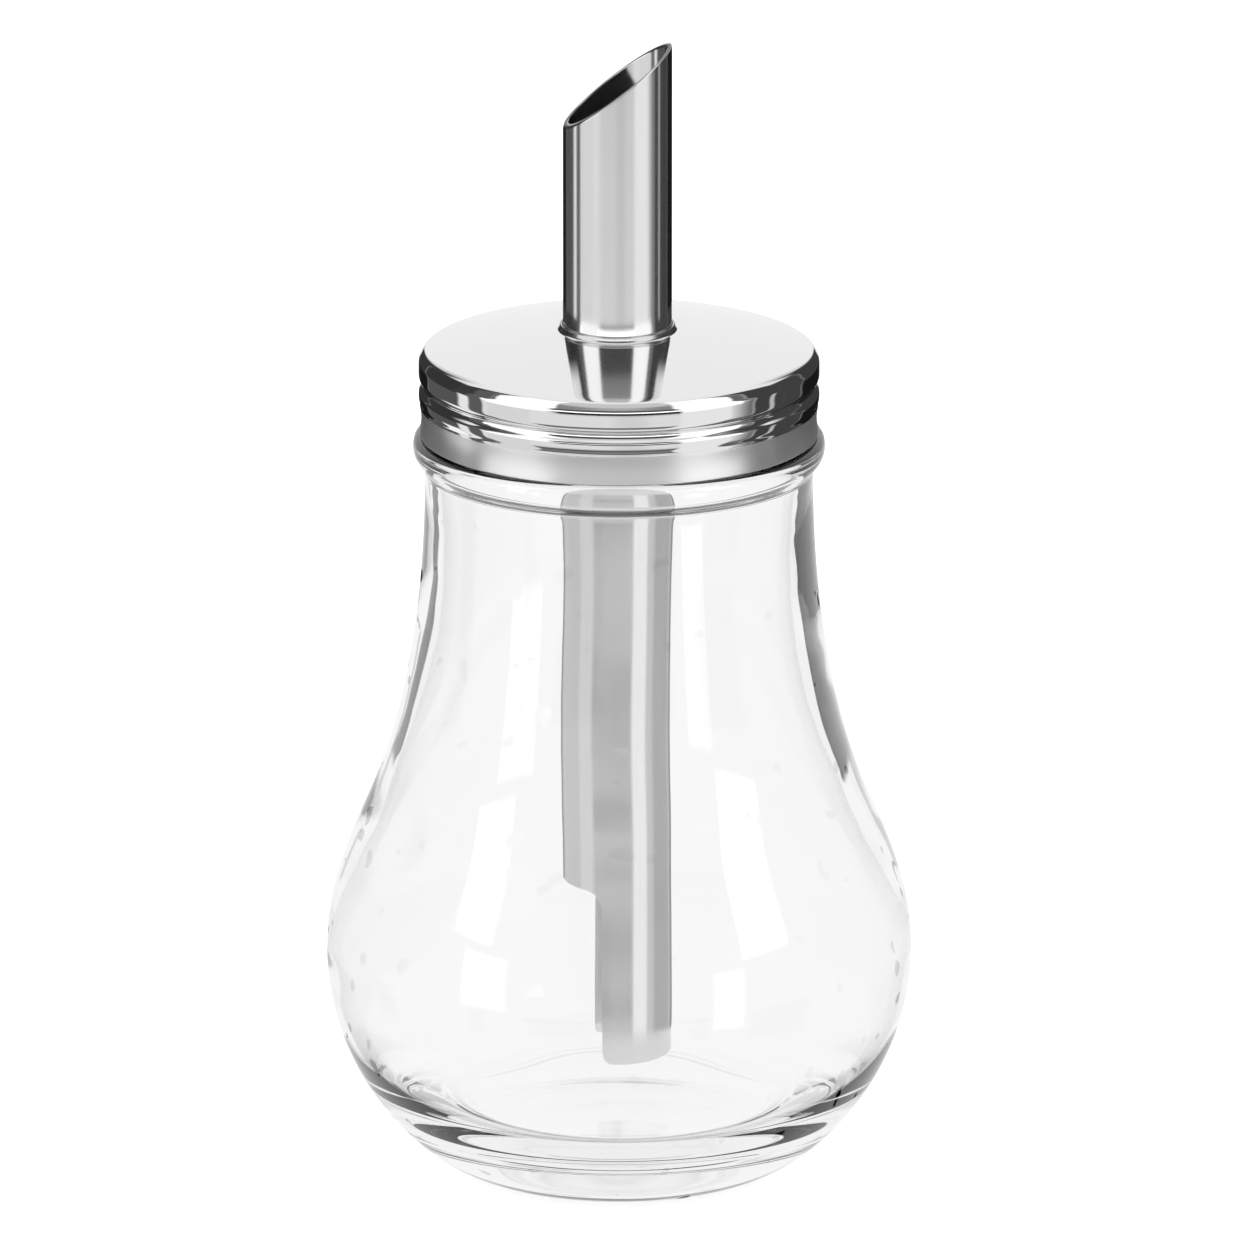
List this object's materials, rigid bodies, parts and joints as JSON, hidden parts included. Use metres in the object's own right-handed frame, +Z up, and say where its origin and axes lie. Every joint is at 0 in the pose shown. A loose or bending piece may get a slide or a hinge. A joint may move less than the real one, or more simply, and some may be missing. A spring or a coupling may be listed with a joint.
{
  "type": "sugar dispenser",
  "caption": "Pear-shaped clear glass sugar dispenser with a domed steel screw cap and a steel dosing tube with a slanted spout, empty.",
  "frame": {"origin": "centre of the foot's standing ring, on the table", "axes": "+Z up along the jar's axis; -Y is the front; the slanted spout is low at -X and high at +X"},
  "size_m": [0.08, 0.08, 0.1578],
  "materials": {
    "clear_glass": "clear, fire polished, slightly uneven wall",
    "cap_steel": "satin domed top, polished rim and thread bead, brushed skirt",
    "tube_steel": "drawn along its length, semi-bright"
  },
  "bodies": {
    "root": {"jar": "clear_glass", "cap": "cap_steel", "tube": "tube_steel"}
  },
  "joints": []
}
